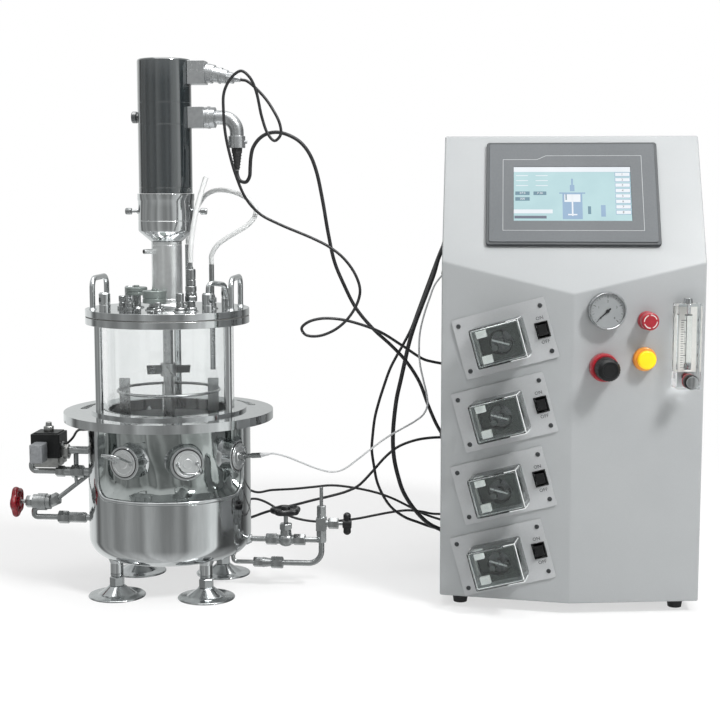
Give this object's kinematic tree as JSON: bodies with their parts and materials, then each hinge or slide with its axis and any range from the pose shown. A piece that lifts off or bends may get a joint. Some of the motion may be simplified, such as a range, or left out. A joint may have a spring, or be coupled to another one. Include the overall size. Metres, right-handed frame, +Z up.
{
  "type": "bench bioreactor",
  "caption": "Jacketed stirred bench fermenter with a glass section and bolted lid, cabled and piped to a control cabinet with touch panel, dosing pumps and gas instruments.",
  "frame": {"origin": "centre of the unit's footprint on the bench, cords left out", "axes": "+Z up, -Y towards the operator (the faces of the vessel ports and cabinet instruments), +X from the vessel towards the cabinet"},
  "size_m": [0.9482, 0.4482, 0.7293],
  "materials": {
    "polished_steel": "mirror polished",
    "satin_steel": "satin",
    "clear_glass": "clear",
    "gasket_rubber": "matt",
    "black_enamel": "gloss",
    "red_enamel": "semi-gloss",
    "black_plastic": "matt",
    "grey_paint": "fine powder coat",
    "plate_grey": "satin",
    "tinted_acrylic": "clear, smoke tinted",
    "rotor_metal": "satin",
    "gauge_case": "polished",
    "red_plastic": "gloss",
    "amber_lens": "gloss",
    "clear_acrylic": "clear",
    "cable_black": "matt",
    "cable_white": "matt",
    "silicone_clear": "translucent"
  },
  "bodies": {
    "station": {"vessel_body": "polished_steel", "foot_front_left": "satin_steel", "foot_front_right": "satin_steel", "foot_rear_left": "satin_steel", "foot_rear_right": "satin_steel", "glass_cylinder": "clear_glass", "upper_ring": "polished_steel", "lid_gasket": "gasket_rubber", "lid": "polished_steel", "condenser": "satin_steel", "dip_tube": "satin_steel", "stirrer_column": "polished_steel", "motor_adaptor": "satin_steel", "motor_housing": "black_enamel", "top_connector": "satin_steel", "elbow_connector": "satin_steel", "baffle_cage": "satin_steel", "solenoid_valve": "black_plastic", "outlet_pipework": "satin_steel", "steam_valve": "satin_steel", "side_probe": "satin_steel", "pump_module_1": "plate_grey", "pump_module_2": "plate_grey", "pump_module_3": "plate_grey", "pump_module_4": "plate_grey", "pressure_gauge": "gauge_case", "rotameter": "clear_acrylic", "touch_panel": "black_plastic", "cabinet_shell": "grey_paint", "signal_cable": "cable_black", "motor_cable": "cable_black", "bundle_cable": "cable_black", "sensor_cable": "cable_black", "heater_cable": "cable_black", "valve_cable": "cable_black", "temperature_cable": "cable_black", "electrode_cable": "cable_white", "silicone_hose": "silicone_clear"},
    "agitator": {"agitator": "satin_steel"},
    "red_handwheel": {"red_handwheel": "red_enamel"},
    "black_handwheel": {"black_handwheel": "black_enamel"},
    "sample_handle": {"sample_handle": "black_enamel"},
    "gauge_needle": {"gauge_needle": "black_plastic"},
    "stop_button": {"stop_button": "red_plastic"},
    "lamp_button": {"lamp_button": "amber_lens"},
    "regulator_knob": {"regulator_knob": "black_plastic"},
    "rotameter_float": {"rotameter_float": "satin_steel"},
    "rotameter_knob": {"rotameter_knob": "black_plastic"},
    "pump_cover_1": {"pump_cover_1": "tinted_acrylic"},
    "pump_rotor_1": {"pump_rotor_1": "rotor_metal"},
    "rocker_switch_1": {"rocker_switch_1": "black_plastic"},
    "pump_cover_2": {"pump_cover_2": "tinted_acrylic"},
    "pump_rotor_2": {"pump_rotor_2": "rotor_metal"},
    "rocker_switch_2": {"rocker_switch_2": "black_plastic"},
    "pump_cover_3": {"pump_cover_3": "tinted_acrylic"},
    "pump_rotor_3": {"pump_rotor_3": "rotor_metal"},
    "rocker_switch_3": {"rocker_switch_3": "black_plastic"},
    "pump_cover_4": {"pump_cover_4": "tinted_acrylic"},
    "pump_rotor_4": {"pump_rotor_4": "rotor_metal"},
    "rocker_switch_4": {"rocker_switch_4": "black_plastic"}
  },
  "joints": [
    {"name": "agitator_spin", "type": "hinge", "parent": "station", "child": "agitator", "pos_m": [-0.2466, -0.0796, 0], "axis": [0, 0, 1], "continuous": true},
    {"name": "red_handwheel_turn", "type": "hinge", "parent": "station", "child": "red_handwheel", "pos_m": [-0.4676, -0.0796, 0.115], "axis": [-1, 0, 0], "range_deg": [0, 1080]},
    {"name": "black_handwheel_turn", "type": "hinge", "parent": "station", "child": "black_handwheel", "pos_m": [-0.0836, -0.0796, 0.109], "axis": [0, 0, 1], "range_deg": [0, 1080]},
    {"name": "sample_handle_turn", "type": "hinge", "parent": "station", "child": "sample_handle", "pos_m": [0.0024, -0.0796, 0.092], "axis": [1, 0, 0], "range_deg": [0, 720]},
    {"name": "gauge_needle_sweep", "type": "hinge", "parent": "station", "child": "gauge_needle", "pos_m": [0.34659, -0.18868, 0.4], "axis": [-0.1597, 0.9872, 0], "range_deg": [0, 266]},
    {"name": "stop_button_press", "type": "slide", "parent": "station", "child": "stop_button", "axis": [-0.1597, 0.9872, 0], "range_m": [0, 0.004], "stiffness_N_per_m": 800},
    {"name": "lamp_button_press", "type": "slide", "parent": "station", "child": "lamp_button", "axis": [-0.1597, 0.9872, 0], "range_m": [0, 0.004], "stiffness_N_per_m": 800},
    {"name": "regulator_knob_turn", "type": "hinge", "parent": "station", "child": "regulator_knob", "pos_m": [0.3426, -0.17717, 0.327], "axis": [0.1597, -0.9872, 0], "range_deg": [-720, 720]},
    {"name": "rotameter_float_rise", "type": "slide", "parent": "station", "child": "rotameter_float", "axis": [0, 0, 1], "range_m": [0, 0.06]},
    {"name": "rotameter_knob_turn", "type": "hinge", "parent": "station", "child": "rotameter_knob", "pos_m": [0.45132, -0.18856, 0.311], "axis": [0.1597, -0.9872, 0], "range_deg": [0, 1080]},
    {"name": "pump_cover_1_open", "type": "hinge", "parent": "station", "child": "pump_cover_1", "pos_m": [0.18081, -0.16812, 0.34979], "axis": [0.2671, -0.0432, -0.9627], "range_deg": [0, 90]},
    {"name": "pump_rotor_1_spin", "type": "hinge", "parent": "station", "child": "pump_rotor_1", "pos_m": [0.2138, -0.17517, 0.35926], "axis": [-0.1597, -0.9872, 0], "continuous": true},
    {"name": "rocker_switch_1_tip", "type": "hinge", "parent": "station", "child": "rocker_switch_1", "pos_m": [0.26483, -0.17938, 0.37465], "axis": [0.9503, -0.1537, 0.2706], "range_deg": [-8, 8]},
    {"name": "pump_cover_2_open", "type": "hinge", "parent": "station", "child": "pump_cover_2", "pos_m": [0.18081, -0.16812, 0.25279], "axis": [0.2671, -0.0432, -0.9627], "range_deg": [0, 90]},
    {"name": "pump_rotor_2_spin", "type": "hinge", "parent": "station", "child": "pump_rotor_2", "pos_m": [0.2138, -0.17517, 0.26226], "axis": [-0.1597, -0.9872, 0], "continuous": true},
    {"name": "rocker_switch_2_tip", "type": "hinge", "parent": "station", "child": "rocker_switch_2", "pos_m": [0.26483, -0.17938, 0.27765], "axis": [0.9503, -0.1537, 0.2706], "range_deg": [-8, 8]},
    {"name": "pump_cover_3_open", "type": "hinge", "parent": "station", "child": "pump_cover_3", "pos_m": [0.18081, -0.16812, 0.15579], "axis": [0.2671, -0.0432, -0.9627], "range_deg": [0, 90]},
    {"name": "pump_rotor_3_spin", "type": "hinge", "parent": "station", "child": "pump_rotor_3", "pos_m": [0.2138, -0.17517, 0.16526], "axis": [-0.1597, -0.9872, 0], "continuous": true},
    {"name": "rocker_switch_3_tip", "type": "hinge", "parent": "station", "child": "rocker_switch_3", "pos_m": [0.26483, -0.17938, 0.18065], "axis": [0.9503, -0.1537, 0.2706], "range_deg": [-8, 8]},
    {"name": "pump_cover_4_open", "type": "hinge", "parent": "station", "child": "pump_cover_4", "pos_m": [0.18081, -0.16812, 0.05979], "axis": [0.2671, -0.0432, -0.9627], "range_deg": [0, 90]},
    {"name": "pump_rotor_4_spin", "type": "hinge", "parent": "station", "child": "pump_rotor_4", "pos_m": [0.2138, -0.17517, 0.06926], "axis": [-0.1597, -0.9872, 0], "continuous": true},
    {"name": "rocker_switch_4_tip", "type": "hinge", "parent": "station", "child": "rocker_switch_4", "pos_m": [0.26483, -0.17938, 0.08465], "axis": [0.9503, -0.1537, 0.2706], "range_deg": [-8, 8]}
  ]
}
